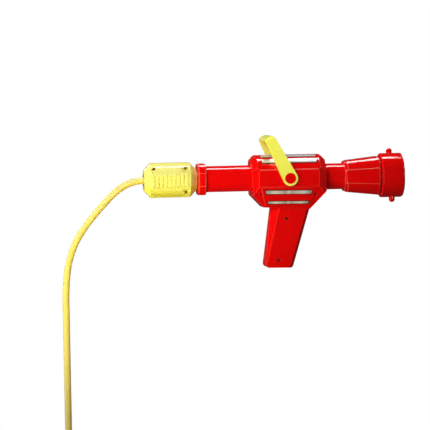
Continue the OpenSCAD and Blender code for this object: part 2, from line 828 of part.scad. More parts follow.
module jet_disc() {
    color(red) difference() {
        rod(disc_rear, disc_rear + disc_t, disc_r - fit_gap);
        rod(disc_rear - over, ring_front, jet_d / 2);
        taper(disc_rear + disc_t / 4, disc_rear + 5 * disc_t / 4, jet_d / 4, jet_d / 4 + disc_t);
    }
}

// Bail lever

leg_in = body_side + lever_gap;
leg_out = leg_in + lever_t;
boss_clear_r = boss_d / 2 + run_gap;

// Side shape of a leg: an eye, sides that leave it as tangents, and a narrower top
leg_lean = asin((eye_d - lever_top_w) / 2 / lever_len);
eye_steps = 28;
eye_from = 180 - leg_lean;
eye_sweep = 180 + 2 * leg_lean;
eye_arc = [for (i = [0 : eye_steps]) let (turn = eye_from + eye_sweep * i / eye_steps)
    eye_d / 2 * [cos(turn), sin(turn)]];
top_ahead = [lever_top_w / 2, lever_len];
top_behind = [-lever_top_w / 2, lever_len];
leg_outline = concat(eye_arc,
    corner_arc(eye_arc[eye_steps], top_ahead, top_behind, lever_round_r),
    corner_arc(top_ahead, top_behind, eye_arc[0], lever_round_r));

module lever_upright() {
    intersection() {
        rotate([90, 0, 0]) linear_extrude(2 * leg_out + 2 * over, center = true) polygon(leg_outline);
        rotate([90, 0, 90]) linear_extrude(huge / 4, center = true) difference() {
            bail_front(leg_out, lever_len + over, lever_corner_r + over);
            bail_front(leg_in, lever_len - lever_t, lever_corner_r - lever_t);
        }
    }
}

// Front view of the bail: a tall plate with round upper corners
module bail_front(half, top, r) {
    low = -huge / 8;
    polygon(concat([[-half, low], [half, low]], corner_arc([half, low], [half, top], [-half, top], r),
        corner_arc([half, top], [-half, top], [-half, low], r)));
}

module bail_lever() {
    color(yellow) at(0) rotate([0, -lever_lean, 0]) difference() {
        lever_upright();
        rotate([90, 0, 0]) cylinder(h = huge / 4, r = boss_clear_r, center = true);
    }
}

// Pump

tail_r = plunger_bore / 2 - fit_gap;
piston_r = bore_r - free_gap;
piston_front = plunger_front + piston_len;
cage_rear = piston_front - cage_t;
cage_r = ball_r + 2 * guide_wall;
inlet_ball_x = plunger_front + piston_len / 2;
inlet_narrow = inlet_ball_x - ball_seat;
seal_rear = plunger_front + piston_len / 4;

module plunger_tube() {
    flange_rear = handle_mid + flange_t;
    color(yellow) {
        ring(plunger_rear, plunger_front, plunger_d / 2, plunger_bore / 2);
        ring(flange_rear, flange_rear + flange_t, flange_d / 2, (plunger_d + plunger_bore) / 4);
    }
}

module piston_head() {
    color(yellow) difference() {
        union() {
            rod(plunger_front - piston_tail, plunger_front + over, tail_r);
            rod(plunger_front, piston_front, piston_r);
        }
        valve_bore(plunger_front - piston_tail - over, inlet_narrow, cage_rear + over);
        rod(cage_rear, piston_front + over, cage_r);
        ring(seal_rear, seal_rear + seal_w, piston_r + over, piston_r - seal_depth);
    }
}

module piston_seal() {
    color(rubber_grey) ring(seal_rear + fit_gap, seal_rear + seal_w - fit_gap, bore_r - run_gap,
        piston_r - seal_depth + fit_gap);
}

cage_port_d = 2;

module ball_cage() {
    color(yellow) difference() {
        rod(cage_rear, piston_front, cage_r - fit_gap);
        ports(cage_rear, piston_front, cage_r, cage_port_d);
    }
}

module inlet_ball() { color(steel) at(inlet_ball_x) sphere(r = ball_r); }

// Pump handle

handle_screw_places = [[-1, 1], [1, 1], [1, -1]];
spot_y = handle_r * sqrt(2) - handle_screw_z - handle_wall / 2;

// Block of the handle, drawn in by d all round
module handle_block(d) {
    bevel = handle_bevel - d * (2 - sqrt(2));
    flatted([[handle_rear + d, handle_r - d - bevel], [handle_rear + d + bevel, handle_r - d],
        [handle_front - d - bevel, handle_r - d], [handle_front - d, handle_r - d - bevel]],
        eight_flats, eight_round_share);
}

// Walls on either side of the plunger's flange
flange_saddle_t = 2;
flange_saddles = [handle_mid + flange_t - flange_saddle_t / 2,
    handle_mid + 2 * flange_t + flange_saddle_t / 2];

// Hollow inside the handle, less the screw posts and the walls that hold the plunger's flange
module handle_hollow() {
    difference() {
        handle_block(handle_wall);
        for (p = handle_screw_places)
            at(detail_mid + p[0] * handle_screw_x) translate([0, 0, p[1] * handle_screw_z])
                rotate([90, 0, 0]) cylinder(h = huge / 4, r = spot_d / 2 + handle_wall / 2, center = true);
        for (s = flange_saddles)
            at(s) cube([flange_saddle_t, huge / 4, huge / 4], center = true);
    }
}

// Grip ribs on a side face
module grip_ribs() {
    rib_h = 2 * (sqrt(2) - 1) * handle_r - handle_wall;
    for (i = [0 : rib_count - 1])
        at(detail_mid + (i - (rib_count - 1) / 2) * rib_pitch)
            translate([-rib_w / 2, -handle_r - rib_t, -rib_h / 2]) cube([rib_w, 2 * rib_t, rib_h]);
}

// Shallow recess along a lower facet, under the fingers
module lower_recess() {
    recess_len = rib_count * rib_pitch;
    recess_h = 2 * (sqrt(2) - 1) * handle_r;
    at(detail_mid) rotate([45, 0, 0]) translate([-recess_len / 2, -handle_r - over, -recess_h / 2])
        cube([recess_len, over + finger_recess, recess_h]);
}

// Spot faces and wells of the handle's screws, which all enter from the right
module handle_screw_holes() {
    for (p = handle_screw_places) {
        station = detail_mid + p[0] * handle_screw_x;
        z = p[1] * handle_screw_z;
        screw_hole(station, z);
        at(station) translate([0, -spot_y, z]) rotate([90, 0, 0]) cylinder(h = huge / 4, d = spot_d);
    }
}

module handle_half(side) {
    difference() {
        union() {
            half_of(side) difference() {
                handle_block(0);
                handle_hollow();
                on_side(side) lower_recess();
            }
            on_side(side) grip_ribs();
        }
        rod(plunger_rear - fit_gap, handle_front + over, plunger_d / 2 + fit_gap);
        rod(handle_mid + flange_t - fit_gap, handle_mid + 2 * flange_t + fit_gap, flange_d / 2 + fit_gap);
        rod(handle_rear - over, handle_rear + 2 * handle_wall, gland_r + fit_gap);
        rod(handle_rear, plunger_rear, gland_r + fit_gap);
        handle_screw_holes();
    }
}

module handle_left() { color(yellow) handle_half(1); }

module handle_right() { color(yellow) handle_half(-1); }

module handle_screws() {
    color(steel) for (p = handle_screw_places)
        screw_at(detail_mid + p[0] * handle_screw_x, p[1] * handle_screw_z);
}

// Hose with its barb, gland and connector

gland_wall = 1.8;
gland_r = hose_d / 2 + gland_wall;
barb_r = hose_bore / 2 - free_gap;
water_r = barb_r / 2;

module hose_gland() {
    color(rubber_grey) ring(handle_rear, handle_rear + 2 * handle_wall, gland_r, hose_d / 2 + fit_gap);
}

module hose_barb() {
    color(yellow) difference() {
        union() {
            rod(hose_start - barb_len, hose_start + fit_gap, barb_r);
            rod(hose_start, plunger_rear + fit_gap, gland_r);
            rod(plunger_rear, plunger_rear + barb_len, tail_r);
        }
        rod(hose_start - barb_len - over, plunger_rear + barb_len + over, water_r);
    }
}

// Middle of the hose outside the handle, from its rear face to the far end, as X and Z
hose_route = [[-150, 59], [-160, 55], [-170, 48], [-180, 38], [-190, 27], [-199, 16], [-207, 4],
    [-213, -9], [-217, -23], [-219, -38], [-220, -54], [-220, -72], [-220, -90], [-220, -110],
    [-220, -130], [-220, -150], [-220, -170], [-220, -190], [-220, -210], [-220, -230], [-220, -250],
    [-220, -270], [-220, -290], [-220, -310], [-220, -330], [-220, -350]];
hose_sides = 10;
hose_path = concat([[pivot_x + hose_start, 0, axis_h], [pivot_x + handle_rear, 0, axis_h]],
    [for (p = hose_route) [p[0], 0, p[1]]]);
hose_end = hose_path[len(hose_path) - 1];

module hose() { color(pvc) swept_hose(hose_path, hose_d / 2, hose_bore / 2, hose_sides, [0, 1, 0]); }

module connector_rod(from, to, r) { translate(hose_end + [0, 0, from]) cylinder(h = to - from, r = r); }

groove_w = 2;
groove_depth = 1.5;
groove_z = -connector_len - groove_w;

module hose_connector() {
    color(yellow) difference() {
        union() {
            connector_rod(-fit_gap, barb_len, barb_r);
            connector_rod(-connector_len, 0, connector_d / 2);
            connector_rod(-connector_len - spigot_len, -connector_len, spigot_d / 2);
        }
        connector_rod(-connector_len - spigot_len - over, barb_len + over, water_r);
        difference() {
            connector_rod(groove_z - groove_w, groove_z, spigot_d / 2 + over);
            connector_rod(groove_z - groove_w - over, groove_z + over, spigot_d / 2 - groove_depth);
        }
    }
}

module connector_seal() {
    ring_r = groove_w / 2 - fit_gap;
    color(rubber_grey) translate(hose_end + [0, 0, groove_z - groove_w / 2])
        rotate_extrude() translate([spigot_d / 2 - groove_depth + fit_gap + ring_r, 0]) circle(ring_r);
}

housing_left();
housing_right();
body_screws();
barrel();
rear_collar();
collar_wiper();
nozzle_cone();
outlet_seal();
outlet_seat();
outlet_retainer();
outlet_spring();
outlet_ball();
side_foil_left();
side_foil_right();
top_foil_left();
top_foil_right();
bail_lever();
nozzle_ring();
jet_disc();
handle_left();
handle_right();
handle_screws();
plunger_tube();
piston_head();
piston_seal();
ball_cage();
inlet_ball();
hose_barb();
hose_gland();
hose();
hose_connector();
connector_seal();
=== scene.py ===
import math

import bpy
import numpy as np
from mathutils import Matrix, Vector


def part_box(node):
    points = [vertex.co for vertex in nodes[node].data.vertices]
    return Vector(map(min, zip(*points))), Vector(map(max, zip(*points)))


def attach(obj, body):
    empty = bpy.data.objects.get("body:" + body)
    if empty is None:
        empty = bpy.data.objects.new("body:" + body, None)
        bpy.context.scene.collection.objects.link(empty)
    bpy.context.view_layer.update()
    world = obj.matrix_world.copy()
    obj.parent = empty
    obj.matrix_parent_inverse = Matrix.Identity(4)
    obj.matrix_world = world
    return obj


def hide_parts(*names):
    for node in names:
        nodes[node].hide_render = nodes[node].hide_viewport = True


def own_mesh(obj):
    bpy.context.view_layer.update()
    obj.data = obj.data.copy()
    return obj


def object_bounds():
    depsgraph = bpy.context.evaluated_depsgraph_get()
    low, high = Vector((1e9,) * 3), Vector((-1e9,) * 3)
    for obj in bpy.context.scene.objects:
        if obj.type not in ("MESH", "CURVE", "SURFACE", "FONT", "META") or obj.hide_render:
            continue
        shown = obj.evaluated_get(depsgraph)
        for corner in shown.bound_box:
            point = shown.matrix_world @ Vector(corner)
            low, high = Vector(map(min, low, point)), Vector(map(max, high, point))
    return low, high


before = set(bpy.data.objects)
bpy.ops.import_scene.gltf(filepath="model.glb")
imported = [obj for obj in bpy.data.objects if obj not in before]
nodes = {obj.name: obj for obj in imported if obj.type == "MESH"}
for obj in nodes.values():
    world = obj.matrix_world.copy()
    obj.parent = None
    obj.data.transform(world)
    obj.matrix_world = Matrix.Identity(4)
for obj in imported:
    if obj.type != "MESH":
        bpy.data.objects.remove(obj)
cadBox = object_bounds()
mm = 0.001
# The frame is in metres. Below, the pieces are given in millimetres and degrees, and the camera, lights and
# floor in metres and degrees.
print("frame loaded:", len(nodes), "nodes")


# Small tools

def hexLinear(code):
    # sRGB hex to linear RGBA
    parts = np.array([int(code[i:i + 2], 16) / 255 for i in (1, 3, 5)])
    linear = np.where(parts <= 0.04045, parts / 12.92, ((parts + 0.055) / 1.055) ** 2.4)
    return (*linear.tolist(), 1.0)


def addNode(tree, kind, settings=None, values=None, links=None):
    # adds a node, sets its properties and input values, and links other nodes' outputs to its inputs
    node = tree.nodes.new(kind)
    for key, value in (settings or {}).items():
        setattr(node, key, value)
    for key, value in (values or {}).items():
        node.inputs[key].default_value = value
    for key, source in (links or {}).items():
        tree.links.new(source, node.inputs[key])
    return node


def startGeometry(name):
    # an empty node tree for a modifier, with its incoming geometry
    tree = bpy.data.node_groups.new(name, "GeometryNodeTree")
    for way in ("INPUT", "OUTPUT"):
        tree.interface.new_socket("Geometry", in_out=way, socket_type="NodeSocketGeometry")
    return tree, addNode(tree, "NodeGroupInput").outputs["Geometry"]


def startMaterial(name):
    # an empty node material, with its tree and its output
    material = bpy.data.materials.new(name)
    material.use_nodes = True
    material.node_tree.nodes.clear()
    return material, material.node_tree, addNode(material.node_tree, "ShaderNodeOutputMaterial")


def setRamp(ramp, stops):
    # stops are (place, hex colour)
    elements = ramp.color_ramp.elements
    while len(elements) < len(stops):
        elements.new(0.5)
    for element, (place, code) in zip(elements, stops):
        element.position = place
        element.color = hexLinear(code)


def meshPiece(name, points, faces, uv=None, values=None):
    # a smooth-shaded mesh object at the origin, with its place in its vertices;
    # uv has a pair for each vertex, and values has named numbers for each vertex
    mesh = bpy.data.meshes.new(name)
    mesh.from_pydata(points.tolist(), [], faces.tolist())
    mesh.polygons.foreach_set("use_smooth", np.ones(len(faces), bool))
    if uv is not None:
        corners = np.empty(len(mesh.loops), np.int32)
        mesh.loops.foreach_get("vertex_index", corners)
        layer = mesh.uv_layers.new(name="UVMap")
        layer.data.foreach_set("uv", uv[corners].astype(np.float32).ravel())
    for key, numbers in (values or {}).items():
        mesh.attributes.new(key, "FLOAT", "POINT").data.foreach_set("value", numbers.astype(np.float32))
    mesh.update()
    piece = bpy.data.objects.new(name, mesh)
    bpy.context.scene.collection.objects.link(piece)
    return piece


def gridFaces(rows, columns, wrap=False):
    # quads of a grid whose points run row by row; wrap joins the last column to the first
    across = columns if wrap else columns - 1
    i, j = np.meshgrid(np.arange(rows - 1), np.arange(across), indexing="ij")
    near, far = i * columns + j, i * columns + (j + 1) % columns
    return np.stack([near, far, far + columns, near + columns], -1).reshape(-1, 4)


def wear(piece, material):
    # dresses a piece in one material
    piece.data.materials.clear()
    piece.data.materials.append(material)


# Materials

def mouldedPlastic(name, look):
    # Injection-moulded ABS from a polished tool. It gives the eye an even colour under a clear, sharp
    # gloss, with a faint sink ripple that keeps long highlights from being ruler straight.
    material, tree, out = startMaterial(name)
    place = addNode(tree, "ShaderNodeTexCoord").outputs["Object"]
    cloud = addNode(tree, "ShaderNodeTexNoise", None,
                    {"Scale": 1 / (look["cloudSize"] * mm), "Detail": 2.0}, {"Vector": place})
    tint = addNode(tree, "ShaderNodeValToRGB", None, None, {"Fac": cloud.outputs["Fac"]})
    setRamp(tint, [(0.3, look["deep"]), (0.7, look["light"])])
    haze = addNode(tree, "ShaderNodeTexNoise", None,
                   {"Scale": 1 / (look["hazeSize"] * mm), "Detail": 3.0}, {"Vector": place})
    gloss = addNode(tree, "ShaderNodeMapRange", None,
                    {"To Min": look["roughLow"], "To Max": look["roughHigh"]}, {"Value": haze.outputs["Fac"]})
    ripple = addNode(tree, "ShaderNodeTexNoise", None,
                     {"Scale": 1 / (look["rippleSize"] * mm), "Detail": 1.0}, {"Vector": place})
    bump = addNode(tree, "ShaderNodeBump", None,
                   {"Strength": 1.0, "Distance": look["rippleDepth"] * mm}, {"Height": ripple.outputs["Fac"]})
    shader = addNode(tree, "ShaderNodeBsdfPrincipled", None,
                     {"IOR": look["ior"], "Subsurface Weight": look["glow"],
                      "Subsurface Radius": look["glowRadius"], "Subsurface Scale": mm},
                     {"Base Color": tint.outputs["Color"], "Roughness": gloss.outputs["Result"],
                      "Normal": bump.outputs["Normal"]})
    tree.links.new(shader.outputs["BSDF"], out.inputs["Surface"])
    return material


redLook = {"deep": "#e60202", "light": "#ee0404", "cloudSize": 30, "hazeSize": 2.5, "roughLow": 0.06,
           "roughHigh": 0.11, "rippleSize": 9, "rippleDepth": 0.02, "ior": 1.5, "glow": 0.0,
           "glowRadius": (1.0, 0.2, 0.1)}
yellowLook = {"deep": "#ece474", "light": "#f0ea88", "cloudSize": 24, "hazeSize": 2.0, "roughLow": 0.12,
              "roughHigh": 0.2, "rippleSize": 8, "rippleDepth": 0.02, "ior": 1.5, "glow": 0.2,
              "glowRadius": (3.0, 2.6, 0.6)}
redAbs = mouldedPlastic("redAbsPolished", redLook)
yellowAbs = mouldedPlastic("yellowAbsMoulded", yellowLook)
leverAbs = mouldedPlastic("lemonAbsMoulded", dict(yellowLook, deep="#fefc66", light="#ffff74", glow=0.1))
# the rounded edges are painted paler than the faces, a painted highlight along them, and the red ones are
# duller too
redEdgeHighlight = mouldedPlastic("redAbsPaintedEdgeHighlight", dict(redLook, deep="#ee564e", light="#f2665e",
                                                  roughLow=0.12, roughHigh=0.2))
yellowEdgeHighlight = mouldedPlastic("yellowAbsPaintedEdgeHighlight", dict(yellowLook, deep="#fdf8c4", light="#fffad4"))
# the catches behind the panel's windows are painted nearly black: painted shade for the dark inside of the
# windows
paintedShadeAbs = mouldedPlastic("darkAbsMoulded", dict(redLook, deep="#1c0404", light="#2a0606",
                                                roughLow=0.5, roughHigh=0.6))


def platedSteel(name, look):
    # Steel wire, balls and screws, some with a yellow zinc plating: a soft, slightly uneven gleam.
    material, tree, out = startMaterial(name)
    place = addNode(tree, "ShaderNodeTexCoord").outputs["Object"]
    grain = addNode(tree, "ShaderNodeTexNoise", None,
                    {"Scale": 1 / (look["grainSize"] * mm), "Detail": 3.0}, {"Vector": place})
    tint = addNode(tree, "ShaderNodeValToRGB", None, None, {"Fac": grain.outputs["Fac"]})
    setRamp(tint, [(0.3, look["deep"]), (0.7, look["light"])])
    gloss = addNode(tree, "ShaderNodeMapRange", None,
                    {"To Min": look["roughLow"], "To Max": look["roughHigh"]},
                    {"Value": grain.outputs["Fac"]})
    shader = addNode(tree, "ShaderNodeBsdfPrincipled", None, {"Metallic": look["metal"]},
                     {"Base Color": tint.outputs["Color"], "Roughness": gloss.outputs["Result"]})
    tree.links.new(shader.outputs["BSDF"], out.inputs["Surface"])
    return material


# the screws are painted a light golden brown: partly their yellow zinc plating, and partly painted light and
# painted reflection, for the light reaching down their wells and the yellow well walls mirrored in the heads
screwZincPaintedLight = platedSteel("yellowZincScrewSteelPaintedLight", {"deep": "#cc9440", "light": "#e8b860", "grainSize": 0.6,
                                                 "roughLow": 0.3, "roughHigh": 0.45, "metal": 0.15})
springSteel = platedSteel("drawnSpringSteel", {"deep": "#8e8f92", "light": "#b4b4b2", "grainSize": 0.6,
                                               "roughLow": 0.22, "roughHigh": 0.38, "metal": 1.0})
ballSteel = platedSteel("polishedStainlessSteel", {"deep": "#c4c5c6", "light": "#d2d2d0", "grainSize": 1.5,
                                                   "roughLow": 0.06, "roughHigh": 0.12, "metal": 1.0})


def mouldedRubber(name, look):
    # Moulded nitrile rubber: nearly black and matt, with the fine tooth of its mould.
    material, tree, out = startMaterial(name)
    place = addNode(tree, "ShaderNodeTexCoord").outputs["Object"]
    tooth = addNode(tree, "ShaderNodeTexNoise", None,
                    {"Scale": 1 / (look["toothSize"] * mm), "Detail": 4.0}, {"Vector": place})
    tint = addNode(tree, "ShaderNodeValToRGB", None, None, {"Fac": tooth.outputs["Fac"]})
    setRamp(tint, [(0.3, look["deep"]), (0.7, look["light"])])
    bump = addNode(tree, "ShaderNodeBump", None,
                   {"Strength": 0.6, "Distance": look["toothDepth"] * mm}, {"Height": tooth.outputs["Fac"]})
    shader = addNode(tree, "ShaderNodeBsdfPrincipled", None, {"Roughness": look["rough"], "IOR": 1.52},
                     {"Base Color": tint.outputs["Color"], "Normal": bump.outputs["Normal"]})
    tree.links.new(shader.outputs["BSDF"], out.inputs["Surface"])
    return material


sealRubber = mouldedRubber("mouldedNitrileRubber", {"deep": "#1c1c1c", "light": "#2a2a29", "toothSize": 0.4,
                                                    "toothDepth": 0.03, "rough": 0.6})


def extrudedPvc(name, look):
    # Extruded soft PVC hose, dyed yellow. Its colour is painted pale along the outer side of the bend, which
    # faces up, as painted light, and gold along the inner side, the underside of the bend, as painted shade.
    # Faint lines from the die run along it.
    # U goes from 0 along the outer side to 1 along the inner side.
    material, tree, out = startMaterial(name)
    uv = addNode(tree, "ShaderNodeTexCoord").outputs["UV"]
    drawn = addNode(tree, "ShaderNodeMapping", None, {"Scale": (look["dieLines"], look["lineChange"], 1.0)},
                    {"Vector": uv})
    lines = addNode(tree, "ShaderNodeTexNoise", {"noise_dimensions": "2D"}, {"Scale": 1.0, "Detail": 2.0},
                    {"Vector": drawn.outputs["Vector"]})
    paintedLightAndShadeAround = addNode(tree, "ShaderNodeSeparateXYZ", None, None, {"Vector": uv}).outputs["X"]
    wander = addNode(tree, "ShaderNodeMath", {"operation": "MULTIPLY_ADD"}, {1: look["lineShare"]},
                     {0: lines.outputs["Fac"], 2: paintedLightAndShadeAround})
    # the ramp paints the hose pale on top, painted light, and gold underneath, painted shade
    tint = addNode(tree, "ShaderNodeValToRGB", None, None, {"Fac": wander.outputs["Value"]})
    setRamp(tint, look["paintedLightAndShadeAround"])
    shader = addNode(tree, "ShaderNodeBsdfPrincipled", None, {"Roughness": look["rough"], "IOR": 1.53},
                     {"Base Color": tint.outputs["Color"]})
    tree.links.new(shader.outputs["BSDF"], out.inputs["Surface"])
    return material


# the colours around the hose: pale on the outer side, painted light, and gold on the inner side, painted
# shade
hosePvc = extrudedPvc("extrudedYellowPvc", {
    "paintedLightAndShadeAround": [(0.0, "#dcd262"), (0.2, "#e6d684"), (0.62, "#e4d27a"), (0.85, "#e0be48"), (1.0, "#d8ac2c")],
    "dieLines": 40, "lineChange": 6, "lineShare": 0.06, "rough": 0.3})


def foilWithPrintAndSheen(name, look):
    # Hot-stamped metallised foil with a painted sheen: light and dark patches painted along the strip stand
    # for its reflections, inside a printed dark line. It has a metal's soft gleam, with a faint brushed grain
    # along it.
    # U runs along the strip from 0 to 1, and rimDistance is how far each point is from the rim.
    material, tree, out = startMaterial(name)
    coords = addNode(tree, "ShaderNodeTexCoord")
    along = addNode(tree, "ShaderNodeSeparateXYZ", None, None, {"Vector": coords.outputs["UV"]}).outputs["X"]
    # the ramp paints the sheen's light and dark patches along the strip
    shade = addNode(tree, "ShaderNodeValToRGB", None, None, {"Fac": along})
    setRamp(shade, look["paintedSheen"])
    rim = addNode(tree, "ShaderNodeAttribute", {"attribute_name": "rimDistance"})
    inside = addNode(tree, "ShaderNodeMapRange", None,
                     {"From Min": look["lineWidth"] * (1 - look["lineBlur"]),
                      "From Max": look["lineWidth"] * (1 + look["lineBlur"])}, {"Value": rim.outputs["Fac"]})
    # the mix node's colour sockets share their names with others, so they go by number
    tint = addNode(tree, "ShaderNodeMix", {"data_type": "RGBA"}, {6: hexLinear(look["line"])},
                   {0: inside.outputs["Result"], 7: shade.outputs["Color"]})
    grainSizes = np.array([look["grainLength"], look["grainWidth"], look["grainWidth"]]) * mm
    stretched = addNode(tree, "ShaderNodeMapping", None, {"Scale": tuple(1 / grainSizes)},
                        {"Vector": coords.outputs["Object"]})
    grain = addNode(tree, "ShaderNodeTexNoise", None, {"Scale": 1.0, "Detail": 2.0},
                    {"Vector": stretched.outputs["Vector"]})
    gloss = addNode(tree, "ShaderNodeMapRange", None,
                    {"To Min": look["roughLow"], "To Max": look["roughHigh"]},
                    {"Value": grain.outputs["Fac"]})
    metal = addNode(tree, "ShaderNodeMath", {"operation": "MULTIPLY"}, {1: look["metal"]},
                    {0: inside.outputs["Result"]})
    shader = addNode(tree, "ShaderNodeBsdfPrincipled", None, None,
                     {"Base Color": tint.outputs[2], "Metallic": metal.outputs["Value"],
                      "Roughness": gloss.outputs["Result"]})
    tree.links.new(shader.outputs["BSDF"], out.inputs["Surface"])
    return material


foilLook = {"line": "#2a1614", "lineWidth": 0.75, "lineBlur": 0.2, "roughLow": 0.16, "roughHigh": 0.3,
            "grainLength": 6, "grainWidth": 0.25, "metal": 0.3}
sideFoil = foilWithPrintAndSheen("metallisedFoilPaintedSheen", dict(foilLook, paintedSheen=[
    (0.0, "#b6a8b6"), (0.09, "#d4c8d6"), (0.18, "#fffaff"), (0.3, "#f2e6f4"), (0.44, "#c8bac8"),
    (0.5, "#fef6ff"), (0.56, "#d4c6d4"), (0.68, "#ecdeee"), (0.82, "#fffcff"), (0.93, "#c8bcca"),
    (1.0, "#a296a4")]))
# the top strips' sheen is painted faintly, lighter in the middle than at the ends
topFoil = foilWithPrintAndSheen("metallisedFoilPlain", dict(foilLook, metal=0.55, paintedSheen=[
    (0.0, "#e4e2de"), (0.3, "#f2f1ef"), (0.7, "#f6f5f4"), (1.0, "#ebe9e6")]))

nodeMaterials = {
    redAbs: ["housing_left", "housing_right", "barrel", "rear_collar", "nozzle_cone", "outlet_seat",
             "outlet_retainer", "nozzle_ring", "jet_disc"],
    leverAbs: ["bail_lever"],
    yellowAbs: ["handle_left", "handle_right", "plunger_tube", "piston_head", "ball_cage",
                "hose_barb", "hose_connector"],
    screwZincPaintedLight: ["body_screws", "handle_screws"],
    ballSteel: ["outlet_ball", "inlet_ball"],
    sealRubber: ["collar_wiper", "outlet_seal", "piston_seal", "hose_gland", "connector_seal"],
}
for material, names in nodeMaterials.items():
    for name in names:
        wear(nodes[name], material)
print("materials on nodes:", sum(len(names) for names in nodeMaterials.values()))


# Softened edges: the CAD solids keep their shape, and their sharp edges get a mould's small radius

def smoothShading():
    # shades all faces smooth; the bevel's own faces carry the turn of the edge
    tree, geometry = startGeometry("smoothFaces")
    shade = addNode(tree, "GeometryNodeSetShadeSmooth", None, {"Shade Smooth": True}, {"Geometry": geometry})
    addNode(tree, "NodeGroupOutput", None, None, {0: shade.outputs["Geometry"]})
    return tree


# fromAngle is the least turn of an edge that is rounded, and the last entry the paler material painted on the
# rounded edge, a painted highlight
edges = {
    "housing_left": {"radius": 0.55, "fromAngle": 16, "edgeHighlightPaint": redEdgeHighlight},
    "housing_right": {"radius": 0.55, "fromAngle": 16, "edgeHighlightPaint": redEdgeHighlight},
    "rear_collar": {"radius": 0.35, "fromAngle": 16, "edgeHighlightPaint": redEdgeHighlight},
    "nozzle_cone": {"radius": 0.35, "fromAngle": 16, "edgeHighlightPaint": redEdgeHighlight},
    "nozzle_ring": {"radius": 0.9, "fromAngle": 24, "edgeHighlightPaint": redEdgeHighlight},
    "barrel": {"radius": 0.3, "fromAngle": 24},
    "bail_lever": {"radius": 0.5, "fromAngle": 24},
    "handle_left": {"radius": 0.5, "fromAngle": 24, "edgeHighlightPaint": yellowEdgeHighlight},
    "handle_right": {"radius": 0.5, "fromAngle": 24, "edgeHighlightPaint": yellowEdgeHighlight},
    "jet_disc": {"radius": 0.25, "fromAngle": 24},
    "hose_connector": {"radius": 0.3, "fromAngle": 24},
    "hose_gland": {"radius": 0.25, "fromAngle": 24},
    "body_screws": {"radius": 0.15, "fromAngle": 24},
    "handle_screws": {"radius": 0.15, "fromAngle": 24},
    "plunger_tube": {"radius": 0.3, "fromAngle": 24},
}
edgeWork = {"weldWithin": 0.004, "flatWithin": 0.4, "segments": 3, "faceWeight": 100}
smoothFaces = smoothShading()


def softenEdges(piece, edge):
    # joins the solid's triangles into flat faces, rounds its sharp edges, and lets the large faces shade flat
    weld = piece.modifiers.new("weld", "WELD")
    weld.merge_threshold = edgeWork["weldWithin"] * mm
    flat = piece.modifiers.new("flatFaces", "DECIMATE")
    flat.decimate_type = "DISSOLVE"
    flat.angle_limit = math.radians(edgeWork["flatWithin"])
    bevel = piece.modifiers.new("edgeRadius", "BEVEL")
    bevel.width = edge["radius"] * mm
    bevel.segments = edgeWork["segments"]
    bevel.limit_method = "ANGLE"
    bevel.angle_limit = math.radians(edge["fromAngle"])
    # the rounded edge's own faces get the paler material: a painted highlight along the edge
    if "edgeHighlightPaint" in edge:
        piece.data.materials.append(edge["edgeHighlightPaint"])
        bevel.material = len(piece.data.materials) - 1
    piece.modifiers.new("smoothFaces", "NODES").node_group = smoothFaces
    piece.modifiers.new("faceNormals", "WEIGHTED_NORMAL").weight = edgeWork["faceWeight"]


for name, edge in edges.items():
    softenEdges(nodes[name], edge)
print("edges softened:", len(edges))


# Crowned shading on the handle's flats

handleFlats = {"axisZ": 60, "radius": 17.2, "flatCrown": 0.2, "slantCrown": 1.7, "flatWithin": 0.25,
               "outFrom": 0.9, "levelWithin": 0.2}


